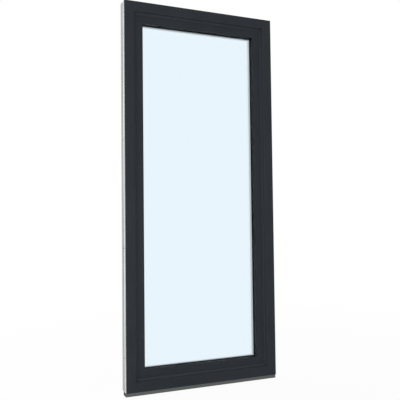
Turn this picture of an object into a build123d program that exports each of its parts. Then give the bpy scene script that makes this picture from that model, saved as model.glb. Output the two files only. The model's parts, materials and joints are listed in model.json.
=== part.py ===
from build123d import *
import os

# A single-leaf french window: an outer frame of four mitred plastic profiles on a base profile,
# and a glazed leaf of four more, hinged on the right as seen from outside and opening into the room.
#
# Sections are drawn in two coordinates. The first, across, runs inward from the frame's outer
# edge. The second, deep, runs from the frame's outside face towards the room.

# Outer frame, in millimetres
frame_width = 900.0  # over the jambs
frame_height = 2100.0  # over the head and the sill
frame_depth = 76.0  # outside face to room face
frame_face = 54.0  # what shows from outside, up to the stop's edge
stop_depth = 20.0  # thickness of the outer stop that the leaf closes against
stop_rise = 20.0  # the stop's height over the rebate floor
wall = 3.0  # outer walls of every profile
web = 2.0  # walls between chambers
side_chamber = 9.0  # the narrow chambers on both sides of the steel chamber
clip_groove_width = 6.0  # groove in the frame's outer edge, near the outside face
clip_groove_depth = 2.5
clip_groove_inset = 14.0  # from the outside face to the groove's middle
anchor_groove_width = 10.0  # deeper groove that takes wall anchors and the base profile
anchor_groove_depth = 5.0
anchor_groove_inset = 33.0  # from the room face to the groove's middle

# Drain slots of the sill and of the leaf's bottom rail. The sill's run down from the rebate floor,
# across a web, and out in front of the base. The rail's run from behind the lip to the leaf's edge.
drain_length = 28.0
drain_width = 3.0
drain_end = 150.0  # from the frame's corners to the outer drains' middles
drain_count = 3
drain_shift = 40.0  # the outlets lie this far beside the inlets
drain_outlet_inset = 5.0  # from the outside face to the outlets' middle

# Base profile under the sill
base_height = 20.0
base_depth = 48.0
base_setback = 8.0  # behind the frame's outside face
base_chambers = 3
clip_clearance = 0.3  # between a clip rib and its groove

# Leaf
leaf_depth = 76.0
leaf_section = 64.0  # from the leaf's rebate edge to the edge of the visible glass
rebate_gap = 12.0  # air between the rebate floor and the leaf's edge, for the hardware
seal_gap = 4.0  # between leaf and frame, where the seals lie
flange_lap = 8.0  # how far the leaf's flange laps over the frame on the room side
lip_rise = 20.0  # height of the glazing lip over the glazing floor
lip_depth = 19.0
edge_radius = 2.5  # rounding of the edges that show

# Hardware groove round the leaf's edge, in two steps: a wide one for the faceplate, a narrow one for the rod
hardware_groove_width = 16.0
hardware_groove_depth = 3.0
rod_groove_width = 12.0
rod_groove_depth = 5.0  # below the wide step
hardware_axis = 13.0  # from the flange to the groove's middle
mitre_margin = 20.0  # how far the mitring wedge reaches past the sections

# Glazing
pane_thickness = 4.0
pane_gap = 16.0
pane_cover = 15.0  # how far the panes reach behind the lip
spacer_height = 11.0
glazing_seal = 3.0  # thickness of the gaskets on both sides of the glass
glazing_seal_height = 12.0
glazing_seal_show = 1.0  # what stands past the lip's edge
bead_foot_height = 4.0
bead_foot_depth = 4.0
bead_foot_inset = 18.0  # from the bead's room face to the middle of its foot
bead_slope = 5.0
block_length = 100.0
block_width = 26.0
block_end = 130.0  # from the pane's corners to the blocks' middles

# Seals between leaf and frame
seal_foot_width = 3.0
seal_foot_depth = 4.0
seal_head_width = 6.0
seal_head_corner = 1.2
seal_clearance = 0.3  # left between a seal's lip and the face that it meets

# Frame fixing holes
fixing_radius = 4.0
fixing_inset = 30.0  # from the outside face to the holes' axes, between the two grooves
fixing_end = 180.0  # from the frame's corner to the nearest hole
fixings_per_jamb = 4

# Hinges
hinge_offset = 13.0  # from the leaf's flange edge out to the pin's axis
hinge_inset = 5.0  # the axis lies this far inside the leaf's room face
knuckle_radius = 7.5
pin_radius = 4.0
pin_clearance = 0.05
knuckle_gap = 0.4
frame_knuckle = 24.0
leaf_knuckle = 36.0
pin_head_radius = 6.5
pin_head = 3.0
hinge_plate = 3.0
frame_plate_length = 70.0
leaf_plate_length = 90.0
leaf_plate_width = 24.0
plate_corner = 4.0
lug_width = 8.0
hinge_end = 40.0  # from the frame's corner to the hinge's outer end
moving_clearance = 5.0  # between the leaf and what stays still beside it

# Lock
faceplate_end = 130.0  # from the frame's corners
rod_width = 10.0
rod_thickness = 3.0
rod_end_gap = 25.0  # from the faceplate's ends to the rod's
cam_travel = 18.0  # how far the rod and its cams slide down to lock
cam_radius = 4.0
cam_head_radius = 5.5
cam_head = 2.0
cam_reach = 9.0  # how far a cam stands out of the faceplate
cam_count = 3
cam_end = 260.0  # from the frame's corners to the outer cams
keeper_length = 40.0
keeper_width = 18.0
keeper_rise = 7.0
keeper_floor = 1.5
keeper_chamfer = 2.0
keeper_drop = 6.0  # from an unlocked cam down to its keeper
cam_side_clearance = 0.8  # beside a cam in its slots

# Handle on the room side
handle_height = 1020.0  # over the frame's lower edge
rose_width = 30.0
rose_height = 70.0
rose_depth = 10.0
rose_corner = 12.0
rose_chamfer = 1.5
neck_reach = 36.0
grip_length = 115.0
grip_width = 20.0
grip_depth = 12.0
grip_chamfer = 3.5
grip_bend = 14.0
grip_end_chamfer = 2.0

# Levels and lines worked out from the sizes above
rebate_floor = frame_face - stop_rise
leaf_edge = rebate_floor + rebate_gap
leaf_front = stop_depth + seal_gap
leaf_back = leaf_front + leaf_depth
flange_front = frame_depth + seal_gap
flange_edge = rebate_floor - flange_lap
sightline = leaf_edge + leaf_section
glazing_floor = sightline - lip_rise
lip_back = leaf_front + lip_depth
outer_pane_front = lip_back + glazing_seal
outer_pane_back = outer_pane_front + pane_thickness
inner_pane_front = outer_pane_back + pane_gap
inner_pane_back = inner_pane_front + pane_thickness
bead_front = inner_pane_back + glazing_seal
pane_edge = sightline - pane_cover
hardware_line = flange_front - hardware_axis
outside = -(base_setback + base_depth / 2)  # the outside face's place on Y
left, right = -frame_width / 2, frame_width / 2
bottom, top = base_height, base_height + frame_height
hinge_across = flange_edge - hinge_offset
hinge_deep = leaf_back - hinge_inset

# One plane at the start of each side's run. Its X is across, its Y is deep, its Z runs along.
side_planes = {
    "left": (Plane((left, outside, bottom), x_dir=(1, 0, 0), z_dir=(0, 0, 1)), frame_height),
    "right": (Plane((right, outside, top), x_dir=(-1, 0, 0), z_dir=(0, 0, -1)), frame_height),
    "head": (Plane((left, outside, top), x_dir=(0, 0, -1), z_dir=(1, 0, 0)), frame_width),
    "sill": (Plane((right, outside, bottom), x_dir=(0, 0, 1), z_dir=(-1, 0, 0)), frame_width),
}


def area(across_0, across_1, deep_0, deep_1):
    """A rectangle in a section, from its four limits."""
    middle = ((across_0 + across_1) / 2, (deep_0 + deep_1) / 2)
    return Pos(*middle) * Rectangle(abs(across_1 - across_0), abs(deep_1 - deep_0))


def rounded(section, corners, radius):
    """The section with the named corners rounded."""
    picked = [min(section.vertices(), key=lambda v, c=c: abs(v.X - c[0]) + abs(v.Y - c[1])) for c in corners]
    return fillet(picked, radius)


def run_along(side, section):
    """One mitred length of a section along one side of the frame."""
    plane, length = side_planes[side]
    reach = sightline + mitre_margin
    outline = [(0, 0, 0), (reach, 0, reach), (reach, 0, length - reach), (0, 0, length)]
    wedge = make_face(Polyline(*outline, close=True))
    mitre = extrude(wedge, amount=leaf_back + mitre_margin, dir=(0, 1, 0))
    bar = extrude(section, amount=length)
    return plane.location * (bar & mitre)


def ring_along(section):
    """The four mitred lengths of a section, welded into one ring."""
    runs = [run_along(side, section) for side in side_planes]
    return runs[0] + runs[1:]


def slab_between(across, deep_0, deep_1):
    """A flat sheet that fills the frame inside a line across, between two depths."""
    sheet = Box(frame_width - 2 * across, deep_1 - deep_0, frame_height - 2 * across)
    return Pos(0, outside + (deep_0 + deep_1) / 2, (bottom + top) / 2) * sheet


def chamber_row(across_0, across_1, deep_0, deep_1):
    """Two narrow chambers, a wide one for the steel, and two narrow ones, side by side."""
    cells = []
    for step in range(2):
        inset = step * (side_chamber + web)
        cells.append(area(across_0, across_1, deep_0 + inset, deep_0 + inset + side_chamber))
        cells.append(area(across_0, across_1, deep_1 - inset - side_chamber, deep_1 - inset))
    inset = 2 * (side_chamber + web)
    cells.append(area(across_0, across_1, deep_0 + inset, deep_1 - inset))
    return cells


def edge_grooves():
    """The two grooves in the frame's outer edge: across their depth, and their two limits in depth."""
    clip, anchor = clip_groove_width / 2, anchor_groove_width / 2
    anchor_middle = frame_depth - anchor_groove_inset
    return [
        (clip_groove_depth, clip_groove_inset - clip, clip_groove_inset + clip),
        (anchor_groove_depth, anchor_middle - anchor, anchor_middle + anchor),
    ]


def groove_for_seal(across, face, direction):
    """The groove that holds a seal's foot, cut from a face in the given direction."""
    half = seal_foot_width / 2
    return area(across - half, across + half, face, face + direction * seal_foot_depth)


# The stop's seal lies over the middle of the leaf's lap behind the stop, the flange's over its own lap
stop_seal_line = (leaf_edge + frame_face) / 2
flange_seal_line = (flange_edge + rebate_floor) / 2


def frame_section():
    """An L: the body with its rebate floor, and the stop that stands up outside."""
    body = area(0, rebate_floor, 0, frame_depth) + area(0, frame_face, 0, stop_depth)
    body = rounded(body, [(frame_face, 0), (0, 0), (rebate_floor, frame_depth)], edge_radius)
    chambers = chamber_row(wall, rebate_floor - wall, wall, frame_depth - wall)
    for depth, low, high in edge_grooves():
        body -= area(0, depth, low, high)
        jacket = area(0, depth + wall, low - wall, high + wall)
        chambers = [cell - jacket for cell in chambers]
    body -= chambers
    stop_top = stop_seal_line - seal_foot_width / 2 - wall
    body -= area(rebate_floor - wall + web, stop_top, wall, stop_depth - wall)
    return body - groove_for_seal(stop_seal_line, stop_depth, -1)


def leaf_profile_section():
    """A Z: the glazing lip outside, the body, and the flange that laps over the frame inside."""
    body = area(leaf_edge, glazing_floor, leaf_front, leaf_back)
    body += area(leaf_edge, sightline, leaf_front, lip_back)
    body += area(flange_edge, glazing_floor, flange_front, leaf_back)
    shown = [(sightline, leaf_front), (flange_edge, leaf_back), (leaf_edge, leaf_front)]
    body = rounded(body, shown, edge_radius)
    low, high = leaf_edge + wall, glazing_floor - wall
    chambers = chamber_row(low, high, leaf_front + wall, leaf_back - wall)
    jackets = []
    step_floor = leaf_edge + hardware_groove_depth
    for width, floor in ((hardware_groove_width, step_floor), (rod_groove_width, step_floor + rod_groove_depth)):
        half = width / 2
        body -= area(leaf_edge, floor, hardware_line - half, hardware_line + half)
        jackets.append(area(leaf_edge, floor + wall, hardware_line - half - wall, hardware_line + half + wall))
    half, inner = bead_foot_depth / 2, glazing_floor - bead_foot_height
    foot = leaf_back - bead_foot_inset
    body -= area(inner, glazing_floor, foot - half, foot + half)
    jackets.append(area(inner - wall, glazing_floor, foot - half - wall, foot + half + wall))
    body -= [cell - jackets for cell in chambers]
    body -= area(high + web, sightline - wall, leaf_front + wall, lip_back - wall)
    flange_start = flange_front + seal_foot_depth + wall
    body -= area(flange_edge + wall, low - web, flange_start, leaf_back - wall)
    return body - groove_for_seal(flange_seal_line, flange_front, 1)


def bead_section():
    """The glazing bead: a sloped bar on a foot that clips into the glazing floor."""
    outline = [
        (glazing_floor, bead_front),
        (sightline, bead_front),
        (sightline, leaf_back - bead_slope),
        (glazing_floor, leaf_back),
    ]
    bead = make_face(Polyline(*outline, close=True))
    bead = rounded(bead, [(sightline, leaf_back - bead_slope)], edge_radius)
    half = bead_foot_depth / 2 - clip_clearance
    foot = leaf_back - bead_foot_inset
    bead += area(glazing_floor - bead_foot_height + clip_clearance, glazing_floor, foot - half, foot + half)
    return bead - area(glazing_floor + wall, sightline - wall, bead_front + wall, leaf_back - bead_slope - wall)


def seal_section(across, face, direction):
    """A seal on a foot in its groove, with a head that nearly reaches the face across the gap."""
    reach = seal_gap - seal_clearance
    half = seal_head_width / 2
    head = area(across - half, across + half, face, face + direction * reach)
    corners = [(across - half, face + direction * reach), (across + half, face + direction * reach)]
    head = rounded(head, corners, seal_head_corner)
    return head + groove_for_seal(across, face, -direction)


def glazing_seal_section(deep):
    """A flat gasket between the glass and the lip or the bead."""
    low = sightline + glazing_seal_show - glazing_seal_height
    return area(low, sightline + glazing_seal_show, deep, deep + glazing_seal)


def base_profile():
    """The hollow bar under the sill, with two ribs in the sill's clip grooves."""
    bar = Pos(0, 0, base_height / 2) * Box(frame_width, base_depth, base_height)
    cell = (base_depth - 2 * wall - (base_chambers - 1) * web) / base_chambers
    for index in range(base_chambers):
        middle = -base_depth / 2 + wall + cell / 2 + index * (cell + web)
        bar -= Pos(0, middle, base_height / 2) * Box(frame_width, cell, base_height - 2 * wall)
    for depth, low, high in edge_grooves():
        rib = depth - clip_clearance
        width = high - low - 2 * clip_clearance
        bar += Pos(0, outside + (low + high) / 2, base_height + rib / 2) * Box(frame_width, width, rib)
    return bar


def drained(section, slots):
    """A lower profile with its drains, each a set of slots with their limits and a shift along the run."""
    bar = run_along("sill", section)
    plane, length = side_planes["sill"]
    for index in range(drain_count):
        along = drain_end + (length - 2 * drain_end) * index / (drain_count - 1)
        for limits, shift in slots:
            slot = extrude(area(*limits), amount=drain_length / 2, both=True)
            bar -= plane.location * Pos(0, 0, along + shift) * slot
    return bar


def drained_sill():
    """The frame's sill: an inlet by the stop, a slot in the web below it, and an outlet in front of the base."""
    second = wall + side_chamber + web
    level = rebate_floor / 2
    half = drain_width / 2
    inlet = (level, rebate_floor, stop_depth, second + side_chamber)
    passage = (level, level + drain_width, second - web, second)
    outlet = (0, level, drain_outlet_inset - half, drain_outlet_inset + half)
    return drained(frame_section(), [(inlet, 0), (passage, drain_shift / 2), (outlet, drain_shift)])


def drained_rail():
    """The leaf's bottom rail: an inlet in the glazing floor behind the lip, and an outlet in its edge."""
    level = (leaf_edge + glazing_floor) / 2
    inlet = (level, glazing_floor, lip_back, lip_back + drain_width)
    outlet = (leaf_edge, level, lip_back - drain_width, lip_back)
    return drained(leaf_profile_section(), [(inlet, 0), (outlet, drain_shift)])


def fixing_levels():
    """Heights of a jamb's fixing holes, evenly spaced between its ends."""
    span = frame_height - 2 * fixing_end
    return [bottom + fixing_end + span * index / (fixings_per_jamb - 1) for index in range(fixings_per_jamb)]


def jamb(side):
    """A frame jamb with its fixing holes through the widest chamber."""
    bar = run_along(side, frame_section())
    edge = left if side == "left" else right
    for level in fixing_levels():
        drill = Cylinder(fixing_radius, 2 * frame_face, rotation=(0, 90, 0))
        bar -= Pos(edge, outside + fixing_inset, level) * drill
    return bar


def hinge(sign, end):
    """Frame bracket, pin and leaf arm of one hinge. Sign is +1 where the leaf is above the bracket."""
    x, y = right - hinge_across, outside + hinge_deep
    start = end + sign * pin_head

    def span(low, high):
        return start + sign * (low + high) / 2

    knuckle = Pos(x, y, span(0, frame_knuckle)) * Cylinder(knuckle_radius, frame_knuckle)
    room_face = outside + frame_depth
    lug = Pos(x, (room_face + y) / 2, span(0, frame_knuckle)) * Box(lug_width, y - room_face, frame_knuckle)
    plate_edges = (wall - hinge_across, flange_edge - moving_clearance - hinge_across)
    plate = area(-plate_edges[1], -plate_edges[0], 0, sign * frame_plate_length)
    plate = fillet(plate.vertices(), plate_corner)
    face = Plane((x, room_face, start), x_dir=(1, 0, 0), z_dir=(0, -1, 0))
    plate = extrude(face.location * plate, amount=-hinge_plate)
    leaf_start = frame_knuckle + knuckle_gap
    length = leaf_start + leaf_knuckle
    bore = Pos(x, y, span(0, length)) * Cylinder(pin_radius + pin_clearance, 2 * length)
    bracket = knuckle + lug + plate - bore

    pin = Pos(x, y, span(0, length)) * Cylinder(pin_radius, length)
    pin += Pos(x, y, span(-pin_head, 0)) * Cylinder(pin_head_radius, pin_head)

    leaf_face = outside + leaf_back
    arm = Pos(x, y, span(leaf_start, length)) * Cylinder(knuckle_radius, leaf_knuckle)
    far_edge, end_level = -hinge_offset - leaf_plate_width, sign * leaf_plate_length
    wing = area(far_edge, -hinge_offset, 0, end_level) + area(far_edge, 0, 0, sign * leaf_knuckle)
    wing = rounded(wing, [(far_edge, 0), (far_edge, end_level), (-hinge_offset, end_level)], plate_corner)
    face = Plane((x, leaf_face, start + sign * leaf_start), x_dir=(1, 0, 0), z_dir=(0, -1, 0))
    arm += extrude(face.location * wing, amount=-hinge_plate)
    return bracket, pin, arm - bore


def cam_levels():
    """Heights of the locking cams, evenly spaced along the lock stile."""
    span = frame_height - 2 * cam_end
    return [bottom + cam_end + span * index / (cam_count - 1) for index in range(cam_count)]


def cam(level):
    """A locking cam: a pin on the rod with a wider head, standing out through the faceplate's slot."""
    face = left + leaf_edge
    length = cam_reach + hardware_groove_depth
    stem = Pos(face - cam_reach + length / 2, outside + hardware_line, level)
    head = Pos(face - cam_reach + cam_head / 2, outside + hardware_line, level)
    turned = (0, 90, 0)
    return stem * Cylinder(cam_radius, length, rotation=turned) + head * Cylinder(
        cam_head_radius, cam_head, rotation=turned
    )


def keeper(level):
    """A keeper on the rebate floor below its cam, with a slot open at the top for the cam."""
    x = left + rebate_floor + keeper_rise / 2
    high = level - cam_head_radius - keeper_drop
    block = Box(keeper_rise, keeper_width, keeper_length)
    block = chamfer(block.edges().filter_by(Axis.X), keeper_chamfer)
    block = Pos(x, outside + hardware_line, high - keeper_length / 2) * block
    slot_width = 2 * (cam_head_radius + cam_side_clearance)
    slot = Box(keeper_rise, slot_width, keeper_length)
    return block - Pos(x + keeper_floor, outside + hardware_line, high - keeper_length / 4) * slot


def faceplate():
    """The steel strip in the wide step of the leaf's groove, with a slot that each cam slides along."""
    length = frame_height - 2 * faceplate_end
    strip = Box(hardware_groove_depth, hardware_groove_width, length)
    x = left + leaf_edge + hardware_groove_depth / 2
    strip = Pos(x, outside + hardware_line, (bottom + top) / 2) * strip
    half = cam_radius + cam_side_clearance
    for level in cam_levels():
        ends = Pos(0, 0, level) * Cylinder(half, 2 * leaf_edge, rotation=(0, 90, 0))
        ends += Pos(0, 0, level - cam_travel) * Cylinder(half, 2 * leaf_edge, rotation=(0, 90, 0))
        slot = ends + Pos(0, 0, level - cam_travel / 2) * Box(2 * leaf_edge, 2 * half, cam_travel)
        strip -= Pos(x, outside + hardware_line, 0) * slot
    return strip


def rod():
    """The flat rod behind the faceplate that carries the cams."""
    length = frame_height - 2 * (faceplate_end + rod_end_gap)
    x = left + leaf_edge + hardware_groove_depth + rod_thickness / 2
    return Pos(x, outside + hardware_line, (bottom + top) / 2) * Box(rod_thickness, rod_width, length)


def handle():
    """The room-side handle: a rose on the lock stile, and a lever that hangs down from it."""
    x = left + (flange_edge + glazing_floor) / 2
    face = outside + leaf_back
    z = bottom + handle_height
    rose = Pos(x, face + rose_depth / 2, z) * Box(rose_width, rose_depth, rose_height)
    rose = fillet(rose.edges().filter_by(Axis.Y), rose_corner)
    rose = chamfer(rose.faces().sort_by(Axis.Y)[-1].edges(), rose_chamfer)
    front = face + rose_depth
    turn = (x, front + neck_reach, z)
    path = FilletPolyline((x, front, z), turn, (x, front + neck_reach, z - grip_length), radius=grip_bend)
    start = Plane((x, front, z), x_dir=(1, 0, 0), z_dir=(0, 1, 0))
    section = Rectangle(grip_width, grip_depth)
    section = chamfer(section.vertices(), grip_chamfer)
    lever = sweep(start * section, path=path)
    return rose, chamfer(lever.faces().sort_by(Axis.Z)[0].edges(), grip_end_chamfer)


def setting_blocks():
    """Two blocks on the bottom rail's glazing floor that the glass stands on."""
    height = pane_edge - glazing_floor
    blocks = []
    y = outside + (outer_pane_front + inner_pane_back) / 2
    z = bottom + glazing_floor + height / 2
    for x in (left + pane_edge + block_end, right - pane_edge - block_end):
        blocks.append(Pos(x, y, z) * Box(block_length, block_width, height))
    return Compound(blocks)


parts = {"base_profile": base_profile()}
for side, name in (("left", "frame_left_jamb"), ("right", "frame_right_jamb")):
    parts[name] = jamb(side)
parts["frame_head"] = run_along("head", frame_section())
parts["frame_sill"] = drained_sill()
parts["frame_stop_seal"] = ring_along(seal_section(stop_seal_line, stop_depth, 1))

leaf_names = {"left": "left_stile", "right": "right_stile", "head": "top_rail"}
for side, name in leaf_names.items():
    parts["leaf_" + name] = run_along(side, leaf_profile_section())
parts["leaf_bottom_rail"] = drained_rail()
for side, name in (("left", "left"), ("right", "right"), ("head", "top"), ("sill", "bottom")):
    parts["glazing_bead_" + name] = run_along(side, bead_section())
parts["leaf_flange_seal"] = ring_along(seal_section(flange_seal_line, flange_front, -1))
parts["outer_glazing_seal"] = ring_along(glazing_seal_section(lip_back))
parts["inner_glazing_seal"] = ring_along(glazing_seal_section(inner_pane_back))
parts["outer_pane"] = slab_between(pane_edge, outer_pane_front, outer_pane_back)
parts["inner_pane"] = slab_between(pane_edge, inner_pane_front, inner_pane_back)
parts["pane_spacer"] = ring_along(area(pane_edge, pane_edge + spacer_height, outer_pane_back, inner_pane_front))
parts["setting_blocks"] = setting_blocks()

for name, sign, end in (("lower", 1, bottom + hinge_end), ("upper", -1, top - hinge_end)):
    bracket, pin, arm = hinge(sign, end)
    parts[name + "_hinge_bracket"] = bracket
    parts[name + "_hinge_pin"] = pin
    parts[name + "_hinge_arm"] = arm

parts["lock_faceplate"] = faceplate()
parts["lock_rod"] = rod()
for name, level in zip(("lower", "middle", "upper"), cam_levels()):
    parts[name + "_cam"] = cam(level)
    parts[name + "_keeper"] = keeper(level)
parts["handle_rose"], parts["handle_lever"] = handle()

os.makedirs("parts", exist_ok=True)
for name, shape in parts.items():
    export_step(shape, f"parts/{name}.step")
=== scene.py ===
import json
import math

import bpy
import numpy as np
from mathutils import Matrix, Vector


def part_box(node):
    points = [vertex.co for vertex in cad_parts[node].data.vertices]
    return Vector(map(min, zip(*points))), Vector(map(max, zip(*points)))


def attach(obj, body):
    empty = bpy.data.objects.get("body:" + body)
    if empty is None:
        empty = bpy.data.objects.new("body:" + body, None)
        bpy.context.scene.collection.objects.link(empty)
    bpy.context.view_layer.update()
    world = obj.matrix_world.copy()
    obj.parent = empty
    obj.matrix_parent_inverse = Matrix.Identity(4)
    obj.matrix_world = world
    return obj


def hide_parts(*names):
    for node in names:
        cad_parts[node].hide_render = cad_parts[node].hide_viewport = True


# Single-leaf french window: dark foil outside, white plastic inside, pale blue double glazing

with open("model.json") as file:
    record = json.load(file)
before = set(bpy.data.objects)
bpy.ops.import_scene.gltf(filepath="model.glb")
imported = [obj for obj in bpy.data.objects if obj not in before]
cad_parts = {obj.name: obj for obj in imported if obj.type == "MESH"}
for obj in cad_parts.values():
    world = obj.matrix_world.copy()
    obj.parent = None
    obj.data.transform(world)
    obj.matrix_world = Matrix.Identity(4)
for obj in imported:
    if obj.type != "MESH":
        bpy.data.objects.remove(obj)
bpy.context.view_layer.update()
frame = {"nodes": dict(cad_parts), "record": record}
nodes = frame["nodes"]
print("frame loaded,", len(nodes), "nodes")

# Lines of the window that the finishes and the small pieces need, read from the frame
jambLow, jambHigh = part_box("frame_left_jamb")
stileLow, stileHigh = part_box("leaf_left_stile")
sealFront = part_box("outer_glazing_seal")[0].y
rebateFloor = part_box("middle_keeper")[0].x
halfWidth = -jambLow.x
halfHeight = (jambHigh.z - jambLow.z) / 2
middleHeight = (jambLow.z + jambHigh.z) / 2
outsideFace, roomFace = jambLow.y, jambHigh.y
leafFront, leafBack = stileLow.y, stileHigh.y
stopReach = jambHigh.x + halfWidth  # from the outer edge to the stop's edge

# Sizes of the profiles that no box gives, in metres
stopDepth = 0.020
flangeReach = 0.020  # from the leaf's edge to its flange's edge
anchorGroove = 0.005  # depth of the deeper groove in the outer edge
hair = 0.0002  # a mask passes its face by this much


# Small helpers for shader trees

def newMaterial(name):
    material = bpy.data.materials.new(name)
    material.use_nodes = True
    tree = material.node_tree
    tree.nodes.clear()
    output = tree.nodes.new("ShaderNodeOutputMaterial")
    shader = tree.nodes.new("ShaderNodeBsdfPrincipled")
    tree.links.new(shader.outputs[0], output.inputs["Surface"])
    place = tree.nodes.new("ShaderNodeTexCoord").outputs["Object"]
    return material, tree, shader, place


def feed(tree, socket, value):
    # a number goes on the socket, an output is linked to it
    if isinstance(value, bpy.types.NodeSocket):
        tree.links.new(value, socket)
    else:
        socket.default_value = value


def math2(tree, operation, first, second=0.0):
    node = tree.nodes.new("ShaderNodeMath")
    node.operation = operation
    feed(tree, node.inputs[0], first)
    feed(tree, node.inputs[1], second)
    return node.outputs[0]


def weighted(tree, first, second, share):
    # second by its share, first by the rest of 1
    rest = math2(tree, "MULTIPLY", first, 1 - share)
    return math2(tree, "ADD", rest, math2(tree, "MULTIPLY", second, share))


def smoothRange(tree, value, low, high, newLow=0.0, newHigh=1.0):
    node = tree.nodes.new("ShaderNodeMapRange")
    node.interpolation_type = "SMOOTHSTEP"
    for socket, number in zip(node.inputs, (value, low, high, newLow, newHigh)):
        feed(tree, socket, number)
    return node.outputs[0]


def stretched(tree, place, scale):
    node = tree.nodes.new("ShaderNodeMapping")
    node.inputs["Scale"].default_value = scale
    tree.links.new(place, node.inputs["Vector"])
    return node.outputs[0]


def noise(tree, place, scale=1.0, detail=2.0, roughness=0.55):
    node = tree.nodes.new("ShaderNodeTexNoise")
    node.inputs["Scale"].default_value = scale
    node.inputs["Detail"].default_value = detail
    node.inputs["Roughness"].default_value = roughness
    tree.links.new(place, node.inputs["Vector"])
    return node.outputs["Fac"]


def shaded(colour, share):
    # the same hue, darker below 1 and lighter above it
    return tuple(part * share for part in colour)


def blendColor(tree, amount, first, second):
    node = tree.nodes.new("ShaderNodeMix")
    node.data_type = "RGBA"
    feed(tree, node.inputs[0], amount)
    for socket, colour in ((node.inputs[6], first), (node.inputs[7], second)):
        feed(tree, socket, colour if isinstance(colour, bpy.types.NodeSocket) else (*colour, 1.0))
    return node.outputs[2]


def blendValue(tree, amount, first, second):
    node = tree.nodes.new("ShaderNodeMix")
    node.data_type = "FLOAT"
    feed(tree, node.inputs[0], amount)
    feed(tree, node.inputs[2], first)
    feed(tree, node.inputs[3], second)
    return node.outputs[0]


def bump(tree, height, distance, strength=1.0):
    node = tree.nodes.new("ShaderNodeBump")
    node.inputs["Strength"].default_value = strength
    node.inputs["Distance"].default_value = distance
    tree.links.new(height, node.inputs["Height"])
    return node.outputs[0]


def splitPlace(tree, place):
    node = tree.nodes.new("ShaderNodeSeparateXYZ")
    tree.links.new(place, node.inputs[0])
    return node.outputs[0], node.outputs[1], node.outputs[2]


def fromMiddle(tree, x, z):
    # distances from the window's upright and level middle lines
    across = math2(tree, "ABSOLUTE", x)
    upward = math2(tree, "ABSOLUTE", math2(tree, "SUBTRACT", z, middleHeight))
    return across, upward


# Mitre lines: a hair-thin dark line on the diagonal of each corner

seamLine = {
    "width": 0.0004,
    "share": 0.45,  # how much of its tone shows
    "tone": (0.012, 0.013, 0.015),
    "beadDepth": 4.0,  # its depth on the beads against their fine relief
}


def cornerSeam(tree, across, upward):
    # 1 on the corner's diagonal, where both outer edges are as far away, and 0 a seam's width beside it
    offset = math2(tree, "SUBTRACT", math2(tree, "SUBTRACT", across, halfWidth),
                   math2(tree, "SUBTRACT", upward, halfHeight))
    return smoothRange(tree, math2(tree, "ABSOLUTE", offset), 0.0, seamLine["width"], 1.0, 0.0)


def seamTinted(tree, seam, colour):
    return blendColor(tree, math2(tree, "MULTIPLY", seam, seamLine["share"]), colour, seamLine["tone"])


# Profiles: foil outside, white core on every other face

profileFinish = {
    "foil": (0.0190, 0.0229, 0.0274),
    "foilLight": (0.0237, 0.0280, 0.0331),
    "foilRange": (0.35, 0.65),  # the pattern's values at which the foil is all dark and all light
    "foilRoughness": (0.40, 0.56),
    "wrap": 0.005,  # how far the foil goes round the outer edges
    "sheen": 0.08,
    "cloudScale": 5.0,
    "cloudShare": 0.4,  # the slow cloud's share in the foil's tone, the pores have the rest
    "grainAlong": 9.0,  # the grain's scale along a member and across it
    "grainAcross": 420.0,
    "poreDetail": 4.0,
    "poreRoughness": 0.6,
    "fineScale": 900.0,
    "fineShare": 0.25,  # the fine texture's share in the relief, the pores have the rest
    "grainDepth": 0.00009,
    "core": (0.78, 0.795, 0.795),
    "coreCloud": 0.965,  # how dark the cloud makes the core at most
    "coreRoughness": (0.34, 0.40),
    "coreRelief": 0.15,  # share of the foil's relief that shows on the core
    "paintedLight": 1.7,  # how much lighter the foil is painted along the step round the leaf, as painted light against the step's shade
    "paintedLightWidth": 0.016,
    "paintedLightPast": 0.0006,  # how far past the stop's edge it is still there
}


def stepPaintedLight(tree, across, upward):
    # painted light where the step's shade falls: 1 at the stop's edge, falling to 0 over its width on the
    # leaf's side of it, and cut off just past the edge on the other side
    edge = math2(tree, "MAXIMUM", math2(tree, "SUBTRACT", across, halfWidth - stopReach),
                 math2(tree, "SUBTRACT", upward, halfHeight - stopReach))
    paintedLightRamp = smoothRange(tree, edge, -profileFinish["paintedLightWidth"], 0.0)
    return math2(tree, "MULTIPLY", paintedLightRamp, math2(tree, "LESS_THAN", edge, profileFinish["paintedLightPast"]))


# The frame's outer edge, which goes into the wall: painted shade, its white core drawn grey, darker still in
# its grooves and along its back arris

wallFinish = {
    # painted shade: the grey drawn on the white core of the outer edge
    "colour": (0.42, 0.425, 0.42),
    "cloud": 0.95,  # how dark the cloud makes it at most
    "from": (0.02, 0.06),  # how far behind the outside face it starts and is whole
    "grooveShade": 0.40,  # painted shade in the grooves
    "arrisShade": 0.35,
    "arrisFrom": (0.005, 0.001),  # how far before the room face the painted shade along the arris starts and is whole
}


def wallSideColor(tree, coreColor, cloud, across, upward, y):
    sideShade = wallFinish["colour"]
    start, whole = wallFinish["from"]
    sideShadeRamp = smoothRange(tree, y, outsideFace + start, outsideFace + whole)
    sideShadeColor = blendColor(tree, cloud, sideShade, shaded(sideShade, wallFinish["cloud"]))
    sideShadeColor = blendColor(tree, sideShadeRamp, coreColor, sideShadeColor)
    # painted shade along the back arris
    start, whole = wallFinish["arrisFrom"]
    arris = smoothRange(tree, y, roomFace - start, roomFace - whole)
    sideShadeColor = blendColor(tree, arris, sideShadeColor, shaded(sideShade, wallFinish["arrisShade"]))
    # painted shade in the deeper groove
    groove = shaded(sideShade, wallFinish["grooveShade"])
    behind = math2(tree, "GREATER_THAN", y, outsideFace + profileFinish["wrap"])
    for depth, tone in ((anchorGroove, groove), (0.0, sideShadeColor)):
        within = math2(tree, "MAXIMUM", math2(tree, "GREATER_THAN", across, halfWidth - depth - hair),
                       math2(tree, "GREATER_THAN", upward, halfHeight - depth - hair))
        coreColor = blendColor(tree, math2(tree, "MULTIPLY", within, behind), coreColor, tone)
    return coreColor


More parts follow.
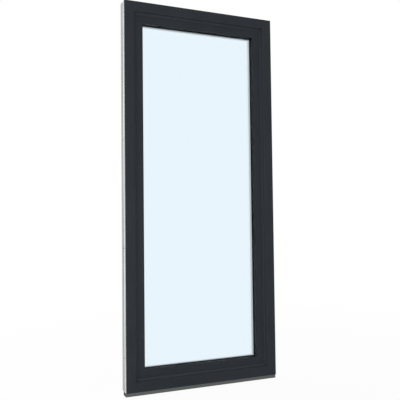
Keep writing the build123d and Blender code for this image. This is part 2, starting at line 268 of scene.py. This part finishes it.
def profileMaterial(name, level, reach, edgeX, edgeZ, front):
    # foil = 1 where y is less than reach, unless the point is on the outer edges behind the wrap
    finish = profileFinish
    material, tree, shader, place = newMaterial(name)
    x, y, z = splitPlace(tree, place)
    across, upward = fromMiddle(tree, x, z)
    deepEnough = math2(tree, "LESS_THAN", y, reach)
    inside = math2(tree, "MULTIPLY", math2(tree, "LESS_THAN", across, edgeX - hair),
                   math2(tree, "LESS_THAN", upward, edgeZ - hair))
    wrapped = math2(tree, "LESS_THAN", y, front + finish["wrap"])
    foil = math2(tree, "MULTIPLY", deepEnough, math2(tree, "MAXIMUM", inside, wrapped))
    # grain runs along the member: long pores over a fine even texture
    along, thin = finish["grainAlong"], finish["grainAcross"]
    grainPlace = stretched(tree, place, (along, thin, thin) if level else (thin, thin, along))
    pores = noise(tree, grainPlace, detail=finish["poreDetail"], roughness=finish["poreRoughness"])
    fine = noise(tree, place, finish["fineScale"])
    cloud = noise(tree, place, finish["cloudScale"])
    tone = smoothRange(tree, weighted(tree, pores, cloud, finish["cloudShare"]), *finish["foilRange"])
    foilColor = blendColor(tree, tone, finish["foil"], finish["foilLight"])
    # painted light: the foil is drawn lighter along the step round the leaf, where the step's shade falls
    paintedLightColor = shaded(finish["foilLight"], finish["paintedLight"])
    foilColor = blendColor(tree, stepPaintedLight(tree, across, upward), foilColor, paintedLightColor)
    coreColor = blendColor(tree, cloud, finish["core"], shaded(finish["core"], finish["coreCloud"]))
    # painted shade on the frame's outer edge, in its grooves and along its back arris
    if edgeX == halfWidth:
        coreColor = wallSideColor(tree, coreColor, cloud, across, upward, y)
    seam = cornerSeam(tree, across, upward)
    colour = seamTinted(tree, seam, blendColor(tree, foil, coreColor, foilColor))
    tree.links.new(colour, shader.inputs["Base Color"])
    coreRough = blendValue(tree, cloud, *finish["coreRoughness"])
    foilRough = blendValue(tree, pores, *finish["foilRoughness"])
    tree.links.new(blendValue(tree, foil, coreRough, foilRough), shader.inputs["Roughness"])
    relief = weighted(tree, pores, fine, finish["fineShare"])
    relief = math2(tree, "MULTIPLY", relief, blendValue(tree, foil, finish["coreRelief"], 1.0))
    relief = math2(tree, "SUBTRACT", relief, seam)
    tree.links.new(bump(tree, relief, finish["grainDepth"]), shader.inputs["Normal"])
    shader.inputs["Specular IOR Level"].default_value = finish["sheen"]
    return material


frameReach = outsideFace + stopDepth + hair  # just past the stop's room face
leafReach = sealFront - hair  # the back of the leaf's lip
leafEdgeX = -stileLow.x - flangeReach
leafEdgeZ = halfHeight - halfWidth + leafEdgeX
frameEdges = (halfWidth, halfHeight, outsideFace)
leafEdges = (leafEdgeX, leafEdgeZ, leafFront)
frameUpright = profileMaterial("frameFoilUpright", False, frameReach, *frameEdges)
frameLevel = profileMaterial("frameFoilLevel", True, frameReach, *frameEdges)
leafUpright = profileMaterial("leafFoilUpright", False, leafReach, *leafEdges)
leafLevel = profileMaterial("leafFoilLevel", True, leafReach, *leafEdges)
print("profile finishes made")


# Plastics and rubbers of one colour: beads, base, setting blocks, seals and spacer

plainFinish = {
    "bead": {"colour": (0.80, 0.815, 0.815), "roughness": 0.3, "relief": 0.00002, "grain": 700.0},
    "base": {"colour": (0.088, 0.095, 0.092), "roughness": 0.55, "relief": 0.00006, "grain": 450.0},
    "block": {"colour": (0.03, 0.11, 0.32), "roughness": 0.5, "relief": 0.00005, "grain": 300.0},
    "seal": {"colour": (0.011, 0.011, 0.012), "roughness": 0.62, "relief": 0.00005, "grain": 600.0},
    "paleSeal": {"colour": (0.56, 0.57, 0.57), "roughness": 0.6, "relief": 0.00005, "grain": 600.0},
    "spacer": {"colour": (0.02, 0.02, 0.021), "roughness": 0.5, "relief": 0.00003, "grain": 800.0},
}
plainSurface = {
    "cloudScale": 7.0,
    "cloudDetail": 3.0,
    "shades": (1.05, 0.93),  # the cloud's lightest and darkest tone against the colour
    "smoother": 0.05,  # how far the roughness goes below and above the finish's own
    "rougher": 0.07,
    "sheen": 0.35,
}


def plainMaterial(name, finish, mitred=False):
    # even colour with a soft cloud and a fine relief, and a line across each corner where it is mitred
    material, tree, shader, place = newMaterial(name)
    cloud = noise(tree, place, plainSurface["cloudScale"], plainSurface["cloudDetail"])
    fine = noise(tree, place, finish["grain"])
    tone = blendColor(tree, cloud, *(shaded(finish["colour"], share) for share in plainSurface["shades"]))
    relief = fine
    if mitred:
        x, y, z = splitPlace(tree, place)
        seam = cornerSeam(tree, *fromMiddle(tree, x, z))
        tone = seamTinted(tree, seam, tone)
        relief = math2(tree, "SUBTRACT", fine, math2(tree, "MULTIPLY", seam, seamLine["beadDepth"]))
    tree.links.new(tone, shader.inputs["Base Color"])
    roughness = blendValue(tree, fine, finish["roughness"] - plainSurface["smoother"],
                           finish["roughness"] + plainSurface["rougher"])
    tree.links.new(roughness, shader.inputs["Roughness"])
    tree.links.new(bump(tree, relief, finish["relief"]), shader.inputs["Normal"])
    shader.inputs["Specular IOR Level"].default_value = plainSurface["sheen"]
    return material


beadPlastic = plainMaterial("beadPlastic", plainFinish["bead"], mitred=True)
basePlastic = plainMaterial("basePlastic", plainFinish["base"])
blockPlastic = plainMaterial("blockPlastic", plainFinish["block"])
sealRubber = plainMaterial("sealRubber", plainFinish["seal"])
paleRubber = plainMaterial("paleRubber", plainFinish["paleSeal"])
spacerPlastic = plainMaterial("spacerPlastic", plainFinish["spacer"])


# Glass: pale blue, with a faint slow wave

glassFinish = {
    "tint": (0.90, 0.955, 0.99),
    "hazeScale": 2.0,
    "hazeShade": 0.995,
    "roughness": 0.0,
    "refraction": 1.5,
    "wave": 0.00002,
    "waveStrength": 0.2,
}


def glassMaterial():
    material, tree, shader, place = newMaterial("paneGlass")
    haze = noise(tree, place, glassFinish["hazeScale"])
    tint = blendColor(tree, haze, glassFinish["tint"], shaded(glassFinish["tint"], glassFinish["hazeShade"]))
    wave = bump(tree, haze, glassFinish["wave"], glassFinish["waveStrength"])
    tree.links.new(tint, shader.inputs["Base Color"])
    tree.links.new(wave, shader.inputs["Normal"])
    shader.inputs["Roughness"].default_value = glassFinish["roughness"]
    shader.inputs["IOR"].default_value = glassFinish["refraction"]
    shader.inputs["Transmission Weight"].default_value = 1.0
    return material


# Metals: bare zinc on the lock and the pins, white coat on the handle and the hinges

metalFinish = {
    "zinc": {"colour": (0.44, 0.44, 0.43), "roughness": 0.36, "metallic": 1.0, "brushed": 700.0},
    "coat": {"colour": (0.79, 0.80, 0.79), "roughness": 0.3, "metallic": 0.0, "brushed": 500.0},
}
metalSurface = {
    "along": 25.0,  # the brushed lines' scale along Z
    "cloudScale": 30.0,
    "detail": 3.0,
    "darkShade": 0.88,
    "smoother": 0.08,  # how far the roughness goes below and above the finish's own
    "rougher": 0.1,
    "relief": 0.00002,
}


def metalMaterial(name, finish):
    # brushed lines run along Z in the roughness and the relief, over a slow cloud in the colour
    material, tree, shader, place = newMaterial(name)
    brushed = stretched(tree, place, (finish["brushed"], finish["brushed"], metalSurface["along"]))
    lines = noise(tree, brushed, detail=metalSurface["detail"])
    cloud = noise(tree, place, metalSurface["cloudScale"], metalSurface["detail"])
    tone = blendColor(tree, cloud, finish["colour"], shaded(finish["colour"], metalSurface["darkShade"]))
    roughness = blendValue(tree, lines, finish["roughness"] - metalSurface["smoother"],
                           finish["roughness"] + metalSurface["rougher"])
    tree.links.new(tone, shader.inputs["Base Color"])
    tree.links.new(roughness, shader.inputs["Roughness"])
    tree.links.new(bump(tree, lines, metalSurface["relief"]), shader.inputs["Normal"])
    shader.inputs["Metallic"].default_value = finish["metallic"]
    return material


paneGlass = glassMaterial()
hardwareZinc = metalMaterial("hardwareZinc", metalFinish["zinc"])
coatedMetal = metalMaterial("coatedMetal", metalFinish["coat"])
print("plastics, rubbers, glass and metals made")

finishOf = {
    "frame_left_jamb": frameUpright, "frame_right_jamb": frameUpright,
    "frame_head": frameLevel, "frame_sill": frameLevel,
    "leaf_left_stile": leafUpright, "leaf_right_stile": leafUpright,
    "leaf_top_rail": leafLevel, "leaf_bottom_rail": leafLevel,
    "base_profile": basePlastic, "pane_spacer": spacerPlastic,
    "inner_glazing_seal": paleRubber, "setting_blocks": blockPlastic,
}
for name, obj in nodes.items():
    if name in finishOf:
        material = finishOf[name]
    elif name.startswith("glazing_bead"):
        material = beadPlastic
    elif name.endswith("_seal"):
        material = sealRubber
    elif name.endswith("_pane"):
        material = paneGlass
    elif name.startswith("handle") or name.endswith(("_bracket", "_arm")):
        material = coatedMetal
    else:
        material = hardwareZinc
    obj.data.materials.clear()
    obj.data.materials.append(material)
print("finishes assigned")


# New pieces are points on parameter grids: rings of points carried along a line, closed at both ends

def ringFaces(rings, around, first=0):
    # four-sided faces between neighbouring rings, with one flat face on the first and the last ring
    start = first + np.arange(rings - 1)[:, None] * around
    step = np.arange(around)[None, :]
    after = (step + 1) % around
    quads = np.stack([start + step, start + after, start + around + after, start + around + step], axis=-1)
    last = first + (rings - 1) * around
    caps = [list(range(first + around - 1, first - 1, -1)), list(range(last, last + around))]
    return quads.reshape(-1, 4).tolist() + caps


def makePiece(name, points, faces, material, body):
    mesh = bpy.data.meshes.new(name)
    mesh.from_pydata(points.reshape(-1, 3).tolist(), [], faces)
    mesh.polygons.foreach_set("use_smooth", np.ones(len(mesh.polygons), dtype=bool))
    mesh.materials.append(material)
    mesh.update()
    piece = bpy.data.objects.new(name, mesh)
    bpy.context.collection.objects.link(piece)
    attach(piece, body)
    return piece


nearUpright = 0.9  # a direction with more than this share along Z takes X as its helper, not Z


def turnedTo(local, places, outward):
    # copies of one shape drawn round +Z, each moved to its place with +Z turned to its outward direction:
    # its X goes along helper cross outward, its Y along outward cross that, and its Z along outward
    outward = np.asarray(outward, dtype=float)
    upright = np.abs(outward[:, 2:3]) > nearUpright
    helper = np.where(upright, [[1.0, 0.0, 0.0]], [[0.0, 0.0, 1.0]])
    first = np.cross(helper, outward)
    first /= np.linalg.norm(first, axis=1, keepdims=True)
    second = np.cross(outward, first)
    axes = np.stack([first, second, outward], axis=1)
    return np.einsum("pk,nkc->npc", local.reshape(-1, 3), axes) + np.asarray(places)[:, None, :]


def manyOf(name, local, places, outward, material, body):
    # one mesh of as many copies of a ringed shape as there are places
    rings, around = local.shape[:2]
    faces = []
    for index in range(len(places)):
        faces += ringFaces(rings, around, index * rings * around)
    makePiece(name, turnedTo(local, places, outward), faces, material, body)


def between(first, second, share):
    # first where share is 0, second where it is 1
    return first * (1 - share) + second * share


# Lever: an oval carried out from the rose, round a bend and down, round at the neck and flat at the grip

leverShape = {
    "axisBelowTop": 0.006,  # from the solid lever's top to the neck's axis
    "gripBehindFront": 0.006,  # from its room face to the grip's middle
    "neckRadius": 0.0078,
    "neckShare": 0.5,  # share of the straight run from the rose that stays round
    "bendRadius": 0.014,
    "gripHalfWidth": (0.0098, 0.0088),  # below the bend and at the lower end
    "gripHalfDepth": (0.0058, 0.0050),
    "squareness": 2.6,  # 2 is an ellipse, more is squarer
    "endRound": 0.006,
    "endShare": 0.985,  # share of the rounding's quarter circle that is drawn, so the last ring is no point
    "rings": 72,
    "tipRings": 12,
    "around": 40,
}


def makeLever():
    # the middle line runs straight out, along a quarter circle and straight down; each ring is the curve
    # |x/a|^n + |y/b|^n = 1 across it, and a and b shrink like a quarter circle over the end's rounding
    low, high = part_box("handle_lever")
    axisZ = high.z - leverShape["axisBelowTop"]
    bend, endRound, tipRings = leverShape["bendRadius"], leverShape["endRound"], leverShape["tipRings"]
    straightOut = high.y - leverShape["gripBehindFront"] - low.y - bend
    straightDown = axisZ - bend - low.z
    arc = bend * math.pi / 2
    total = straightOut + arc + straightDown
    shaft = np.linspace(0.0, total - endRound, leverShape["rings"] - tipRings)
    quarter = np.linspace(0.0, math.pi / 2, tipRings + 1)[1:] * leverShape["endShare"]
    tip = total - endRound + endRound * np.sin(quarter)
    run = np.concatenate([shaft, tip])  # length along the middle line, one value a ring
    turn = np.clip((run - straightOut) / bend, 0.0, math.pi / 2)
    past = np.clip(run - straightOut - arc, 0.0, None)
    y = low.y + np.minimum(run, straightOut) + bend * np.sin(turn)
    z = axisZ - bend * (1 - np.cos(turn)) - past
    share = leverShape["neckShare"]
    grip = np.clip((run - straightOut * share) / (arc + straightOut * (1 - share)), 0.0, 1.0)
    grip = grip * grip * (3 - 2 * grip)  # 0 on the round neck, 1 on the flat grip, eased at both ends
    down = np.clip(past / straightDown, 0.0, 1.0)
    shrink = np.sqrt(np.clip(1 - (np.clip(run - total + endRound, 0.0, None) / endRound) ** 2, 0.0, 1.0))
    halfWide = between(leverShape["neckRadius"], between(*leverShape["gripHalfWidth"], down), grip) * shrink
    halfDeep = between(leverShape["neckRadius"], between(*leverShape["gripHalfDepth"], down), grip) * shrink
    power = (2 + (leverShape["squareness"] - 2) * grip)[:, None]
    angle = np.linspace(0.0, 2 * math.pi, leverShape["around"], endpoint=False)
    cosine, sine = np.cos(angle)[None, :], np.sin(angle)[None, :]
    scale = (np.abs(cosine) ** power + np.abs(sine) ** power) ** (-1 / power)
    depth = halfDeep[:, None] * scale * sine
    points = np.empty(depth.shape + (3,))
    points[..., 0] = (low.x + high.x) / 2 + halfWide[:, None] * scale * cosine
    points[..., 1] = y[:, None] + depth * np.sin(turn)[:, None]
    points[..., 2] = z[:, None] + depth * np.cos(turn)[:, None]
    faces = ringFaces(len(run), leverShape["around"])
    piece = makePiece("handleLeverSmooth", points, faces, coatedMetal, "leaf")
    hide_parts("handle_lever")


# Round caps and the collar: a turned profile, radius against height

discTop = {
    "rings": (0.6, 0.3, 0.04),  # radii of the dome's rings as shares of the disc's
    "dome": 0.18,  # the dome's rise against the rim's rounding
}


def turnedDisc(shape):
    # up the side, round the rim by a quarter circle, then in over a dome that rises with 1 - r^2
    radius, height, rounding = shape["radius"], shape["height"], shape["rounding"]
    inward = np.array(discTop["rings"])
    rim = np.linspace(0.0, math.pi / 2, shape["rings"] - 1 - len(inward))
    dome = discTop["dome"] * rounding * (1 - inward ** 2)
    r = np.concatenate([[radius], radius - rounding + rounding * np.cos(rim), radius * inward])
    h = np.concatenate([[0.0], height - rounding + rounding * np.sin(rim), height + dome])
    angle = np.linspace(0.0, 2 * math.pi, shape["around"], endpoint=False)
    points = np.empty((len(r), len(angle), 3))
    points[..., 0] = r[:, None] * np.cos(angle)
    points[..., 1] = r[:, None] * np.sin(angle)
    points[..., 2] = h[:, None]
    return points


# Collar where the lever turns in the rose

collarShape = {"radius": 0.0125, "height": 0.0035, "rounding": 0.0012, "rings": 14, "around": 48}


def makeCollar():
    low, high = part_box("handle_rose")
    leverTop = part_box("handle_lever")[1].z
    place = ((low.x + high.x) / 2, high.y, leverTop - leverShape["axisBelowTop"])
    manyOf("handleCollar", turnedDisc(collarShape), [place], [(0, 1, 0)], coatedMetal, "leaf")


# Caps over the fixing holes, on the rebate floor of both jambs

fixingCaps = {"radius": 0.0068, "height": 0.0014, "rounding": 0.0009, "rings": 12, "around": 40}


def makeFixingCaps():
    places, outward = [], []
    for mount in frame["record"]["mounts"]:
        if mount["kind"] != "bolt_pattern":
            continue
        x, y, z = mount["pos_m"]
        side = 1 if x > 0 else -1
        spacing = mount["dims"]["spacing_y_mm"] / 1000
        for half in (-0.5, 0.5):
            places.append((-side * rebateFloor, y, z + half * spacing))
            outward.append((-side, 0, 0))
    manyOf("fixingCaps", turnedDisc(fixingCaps), places, outward, beadPlastic, "frame")


# Screws: pan heads with a cross recess

screwShape = {
    "crossWidth": 0.16,  # half width, reach, depth and slopes of the cross, as shares of the head
    "crossReach": 0.56,
    "crossDepth": 0.62,
    "sideSlope": 0.05,
    "endSlope": 0.08,
    "dome": 0.45,
    "centre": 0.03,  # radius of the innermost ring
    "rings": 22,
    "around": 48,
}


def screwHead(radius, rise):
    # height = side, then a dome falling with the square of the distance, less a cross-shaped pit
    share = np.concatenate([[1.0], np.linspace(1.0, screwShape["centre"], screwShape["rings"] - 1)])[:, None]
    angle = np.linspace(0.0, 2 * math.pi, screwShape["around"], endpoint=False)
    x = share * np.cos(angle)
    y = share * np.sin(angle)
    arm = np.minimum(np.abs(x), np.abs(y))
    inArm = np.clip((screwShape["crossWidth"] - arm) / screwShape["sideSlope"], 0.0, 1.0)
    inReach = np.clip((screwShape["crossReach"] - share) / screwShape["endSlope"], 0.0, 1.0)
    height = 1 - screwShape["dome"] * share ** 2 - screwShape["crossDepth"] * inArm * inReach
    height[0] = 0.0
    return np.stack([x * radius, y * radius, height * rise], axis=-1)


def makeScrews(name, shape, places, outward, body):
    head = screwHead(shape["radius"], shape["rise"])
    manyOf(name, head, places, [outward] * len(places), hardwareZinc, body)


# Screws of the hinges: the upper hinge is the lower one mirrored, so they are counted down from its top

hingeScrews = {
    "radius": 0.0042,
    "rise": 0.0018,
    "plate": 0.003,  # thickness of the arm and the bracket under the heads
    "armInset": 0.012,
    "armLevels": (0.014, 0.05, 0.079),
    "bracketInset": 0.009,
    "bracketLevels": (0.038, 0.059),
}


def makeHingeScrews():
    armY, bracketY = leafBack + hingeScrews["plate"], roomFace + hingeScrews["plate"]
    armPlaces, bracketPlaces = [], []
    for name, upward in (("lower", 1), ("upper", -1)):
        low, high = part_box(name + "_hinge_arm")
        start = low.z if upward > 0 else high.z
        middle = low.x + hingeScrews["armInset"]
        armPlaces += [(middle, armY, start + upward * level)
                      for level in hingeScrews["armLevels"]]
        low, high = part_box(name + "_hinge_bracket")
        start = low.z if upward > 0 else high.z
        middle = high.x - hingeScrews["bracketInset"]
        bracketPlaces += [(middle, bracketY, start + upward * level)
                          for level in hingeScrews["bracketLevels"]]
    makeScrews("hingeArmScrews", hingeScrews, armPlaces, (0, 1, 0), "leaf")
    makeScrews("hingeBracketScrews", hingeScrews, bracketPlaces, (0, 1, 0), "frame")


# Screws of the keepers and the lock's faceplate

keeperScrews = {"radius": 0.0034, "rise": 0.0009, "level": 0.005}
faceplateScrews = {"radius": 0.0031, "rise": 0.0005, "count": 12, "end": 0.03}


def makeLockScrews():
    places = []
    for name in ("lower", "middle", "upper"):
        low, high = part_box(name + "_keeper")
        places.append((high.x, (low.y + high.y) / 2, low.z + keeperScrews["level"]))
    makeScrews("keeperScrews", keeperScrews, places, (1, 0, 0), "frame")
    low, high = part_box("lock_faceplate")
    end = faceplateScrews["end"]
    levels = np.linspace(low.z + end, high.z - end, faceplateScrews["count"])
    places = [(low.x, (low.y + high.y) / 2, level) for level in levels]
    makeScrews("faceplateScrews", faceplateScrews, places, (-1, 0, 0), "leaf")


makeLever()
makeCollar()
makeHingeScrews()
makeLockScrews()
makeFixingCaps()
print("lever, collar, screws and caps made")


# Studio: white surroundings for the view and a pale floor that keeps the window's shadow

studio = {
    "ambient": 0.58,
    "floorSize": 60.0,
    "floorColour": (0.8, 0.8, 0.8),
    "floorCloud": 1.5,
    "floorShade": 1.01,  # the cloud's lightest tone against the colour
    "floorWhite": 0.95,  # share of plain white in what the camera sees of the floor beside the window
    "floorFade": (1.0, 4.0),  # metres from the window over which the floor turns all white
}


def viewRay(tree):
    # 1 for what is seen straight on, in a gloss or through glass, and 0 for the light that falls on things
    path = tree.nodes.new("ShaderNodeLightPath").outputs
    seen = math2(tree, "MAXIMUM", path["Is Camera Ray"], path["Is Glossy Ray"])
    return math2(tree, "MAXIMUM", seen, path["Is Transmission Ray"])


def makeWorld():
    world = bpy.data.worlds.new("studioWorld")
    bpy.context.scene.world = world
    world.use_nodes = True
    tree = world.node_tree
    background = tree.nodes["Background"]
    background.inputs["Color"].default_value = (1.0, 1.0, 1.0, 1.0)
    strength = blendValue(tree, viewRay(tree), studio["ambient"], 1.0)
    tree.links.new(strength, background.inputs["Strength"])


def makeFloor():
    half = studio["floorSize"] / 2
    corners = [(-half, -half, 0), (half, -half, 0), (half, half, 0), (-half, half, 0)]
    mesh = bpy.data.meshes.new("studioFloor")
    mesh.from_pydata(corners, [], [(0, 1, 2, 3)])
    floor = bpy.data.objects.new("studioFloor", mesh)
    bpy.context.collection.objects.link(floor)
    material, tree, shader, place = newMaterial("floorPaint")
    tree.nodes.remove(shader)
    diffuse = tree.nodes.new("ShaderNodeBsdfDiffuse")
    glow = tree.nodes.new("ShaderNodeEmission")
    mixed = tree.nodes.new("ShaderNodeMixShader")
    colour = studio["floorColour"]
    cloud = noise(tree, place, studio["floorCloud"])
    colour = blendColor(tree, cloud, colour, shaded(colour, studio["floorShade"]))
    tree.links.new(colour, diffuse.inputs["Color"])
    x, y, z = splitPlace(tree, place)
    squares = math2(tree, "ADD", math2(tree, "MULTIPLY", x, x), math2(tree, "MULTIPLY", y, y))
    white = smoothRange(tree, math2(tree, "SQRT", squares), *studio["floorFade"], studio["floorWhite"], 1.0)
    path = tree.nodes.new("ShaderNodeLightPath").outputs
    white = math2(tree, "MAXIMUM", white, path["Is Transmission Ray"])  # all white through the glass
    tree.links.new(math2(tree, "MULTIPLY", viewRay(tree), white), mixed.inputs[0])
    tree.links.new(diffuse.outputs[0], mixed.inputs[1])
    tree.links.new(glow.outputs[0], mixed.inputs[2])
    tree.links.new(mixed.outputs[0], tree.nodes["Material Output"].inputs["Surface"])
    mesh.materials.append(material)


# Soft lamps, turned to the window's middle

lamps = {
    "keyLamp": {"place": (-3.6, -4.2, 1.9), "size": 3.6, "power": 120.0},
    "lowLamp": {"place": (-1.0, -3.2, 0.25), "size": 1.2, "power": 50.0},
    "roomLamp": {"place": (-2.4, 4.4, 2.6), "size": 2.6, "power": 120.0},
}


def makeLamp(name, place, size, power):
    # a lamp only lights: it shows neither by itself nor in the glass, where its edge would be a hard line
    lamp = bpy.data.lights.new(name, "AREA")
    lamp.shape = "SQUARE"
    lamp.size = size
    lamp.energy = power
    obj = bpy.data.objects.new(name, lamp)
    bpy.context.collection.objects.link(obj)
    obj.location = place
    obj.visible_camera = False
    obj.visible_transmission = False
    obj.visible_glossy = False
    x, y, z = np.array(place) - np.array((0.0, 0.0, middleHeight))
    obj.rotation_euler = (math.atan2(math.hypot(x, y), z), 0.0, math.atan2(x, -y))


makeWorld()
makeFloor()
for name, lamp in lamps.items():
    makeLamp(name, lamp["place"], lamp["size"], lamp["power"])
print("world, floor and lamps set")


# Camera: left of the middle, a little under the window's own middle, held almost level

cameraView = {
    "place": (-1.2317, -2.9254, 0.913),
    "angles": (92.3124, 0.634, -22.6895),  # degrees about X, Y and Z
    "lens": 50.4106,
    "sensor": 36.0,
}


def makeCamera():
    camera = bpy.data.cameras.new("viewCamera")
    camera.sensor_width = cameraView["sensor"]
    camera.lens = cameraView["lens"]
    obj = bpy.data.objects.new("viewCamera", camera)
    bpy.context.collection.objects.link(obj)
    obj.location = cameraView["place"]
    obj.rotation_euler = tuple(math.radians(angle) for angle in cameraView["angles"])
    bpy.context.scene.camera = obj


makeCamera()
bpy.context.scene.view_settings.view_transform = "Standard"
print("camera set")
